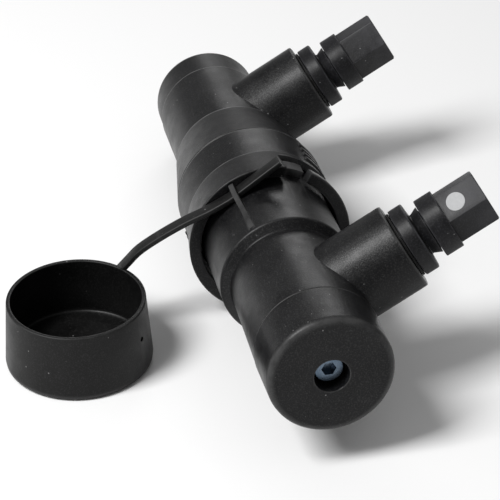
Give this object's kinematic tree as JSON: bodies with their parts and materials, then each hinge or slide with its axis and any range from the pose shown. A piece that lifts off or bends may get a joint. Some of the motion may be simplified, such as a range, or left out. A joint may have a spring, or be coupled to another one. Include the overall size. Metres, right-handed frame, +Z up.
{
  "type": "cable coupler",
  "caption": "In-line cable coupler: plug and socket halves joined by a bayonet ring, each with a side cable gland and axial clamp screw, plus a dust cap on a strap.",
  "frame": {"origin": "middle of the footprint on the surface that the coupler and its cap lie on", "axes": "+X from the plug half's end towards the socket half's end, level; +Y towards the dust cap; +Z up. The main axis falls 4.1 degrees towards +X."},
  "size_m": [0.195, 0.1514, 0.0693],
  "materials": {
    "black_polyamide": "satin moulded polyamide with a fine spark-eroded texture and light dusty handling marks",
    "black_rubber": "matte moulded elastomer",
    "strap_rubber": "matte flexible elastomer with faint flow marks",
    "grey_insulator": "smooth moulded insulating plastic",
    "plated_brass": "turned and plated",
    "blued_steel": "bright, slightly blue passivated steel",
    "light_grey_inlay": "light grey round inlay"
  },
  "bodies": {
    "socket_half": {"socket_housing": "black_polyamide", "socket_end_cap": "black_polyamide", "socket_end_seal": "black_rubber", "socket_contact_tower": "grey_insulator", "socket_contact": "plated_brass", "contact_band": "plated_brass", "socket_terminal_block": "plated_brass", "socket_gland_body": "black_polyamide", "socket_gland_gasket": "black_rubber", "socket_grommet": "black_rubber", "ring_clip": "blued_steel", "face_gasket": "black_rubber"},
    "ring": {"coupling_ring": "black_polyamide"},
    "plug_half": {"plug_housing": "black_polyamide", "plug_end_cap": "black_polyamide", "plug_end_seal": "black_rubber", "plug_contact_carrier": "grey_insulator", "plug_contact_pin": "plated_brass", "plug_terminal_block": "plated_brass", "plug_gland_body": "black_polyamide", "plug_gland_gasket": "black_rubber", "plug_grommet": "black_rubber", "nose_seal": "black_rubber", "strap_tail": "strap_rubber"},
    "plug_thrust": {"plug_thrust_ring": "black_polyamide"},
    "plug_nut": {"plug_gland_nut": "black_polyamide", "nut_marker": "light_grey_inlay"},
    "socket_thrust": {"socket_thrust_ring": "black_polyamide"},
    "socket_nut": {"socket_gland_nut": "black_polyamide"},
    "plug_pad": {"plug_clamp_pad": "blued_steel"},
    "plug_screw": {"plug_clamp_screw": "blued_steel"},
    "socket_pad": {"socket_clamp_pad": "blued_steel"},
    "socket_screw": {"socket_clamp_screw": "blued_steel"},
    "strap": {"cap_strap": "strap_rubber"},
    "cap": {"dust_cap": "strap_rubber"}
  },
  "joints": [
    {"name": "ring_turn", "type": "hinge", "parent": "socket_half", "child": "ring", "pos_m": [0.00342, -0.01386, 0.02477], "axis": [-0.9975, 0, 0.0708], "range_deg": [0, 35]},
    {"name": "plug_pull", "type": "slide", "parent": "socket_half", "child": "plug_half", "axis": [-0.9975, 0, 0.0708], "range_m": [0, 0.062]},
    {"name": "plug_nut_travel", "type": "slide", "parent": "plug_half", "child": "plug_thrust", "axis": [0.0347, -0.8721, 0.4882], "range_m": [0, 0.0025]},
    {"name": "plug_nut_turn", "type": "hinge", "parent": "plug_thrust", "child": "plug_nut", "pos_m": [-0.05591, -0.06444, 0.05744], "axis": [0.0347, -0.8721, 0.4882], "range_deg": [0, 601]},
    {"name": "socket_nut_travel", "type": "slide", "parent": "socket_half", "child": "socket_thrust", "axis": [0.0347, -0.8721, 0.4882], "range_m": [0, 0.0025]},
    {"name": "socket_nut_turn", "type": "hinge", "parent": "socket_thrust", "child": "socket_nut", "pos_m": [0.06449, -0.06444, 0.04889], "axis": [0.0347, -0.8721, 0.4882], "range_deg": [0, 601]},
    {"name": "plug_pad_travel", "type": "slide", "parent": "plug_half", "child": "plug_pad", "axis": [0.9975, 0, -0.0708], "range_m": [0, 0.0022]},
    {"name": "plug_screw_turn", "type": "hinge", "parent": "plug_pad", "child": "plug_screw", "pos_m": [-0.0659, -0.01386, 0.02969], "axis": [0.9975, 0, -0.0708], "range_deg": [0, 991]},
    {"name": "socket_pad_travel", "type": "slide", "parent": "socket_half", "child": "socket_pad", "axis": [-0.9975, 0, 0.0708], "range_m": [0, 0.0022]},
    {"name": "socket_screw_turn", "type": "hinge", "parent": "socket_pad", "child": "socket_screw", "pos_m": [0.07046, -0.01386, 0.02002], "axis": [-0.9975, 0, 0.0708], "range_deg": [0, 991]},
    {"name": "strap_flex", "type": "hinge", "parent": "plug_half", "child": "strap", "pos_m": [-0.01492, 0.00044, 0.04452], "axis": [0.9975, 0, -0.0708], "range_deg": [0, 45], "stiffness_Nm_per_rad": 0.01},
    {"name": "cap_tilt", "type": "hinge", "parent": "strap", "child": "cap", "pos_m": [-0.01299, 0.03244, 0.02524], "axis": [0.9975, 0, -0.0708], "range_deg": [0, 45], "stiffness_Nm_per_rad": 0.01}
  ],
  "couplings": [
    {"joint": "plug_nut_turn", "follows": "plug_nut_travel", "rad_per_m": 4188.8},
    {"joint": "socket_nut_turn", "follows": "socket_nut_travel", "rad_per_m": 4188.8},
    {"joint": "plug_screw_turn", "follows": "plug_pad_travel", "rad_per_m": 7854},
    {"joint": "socket_screw_turn", "follows": "socket_pad_travel", "rad_per_m": 7854}
  ]
}
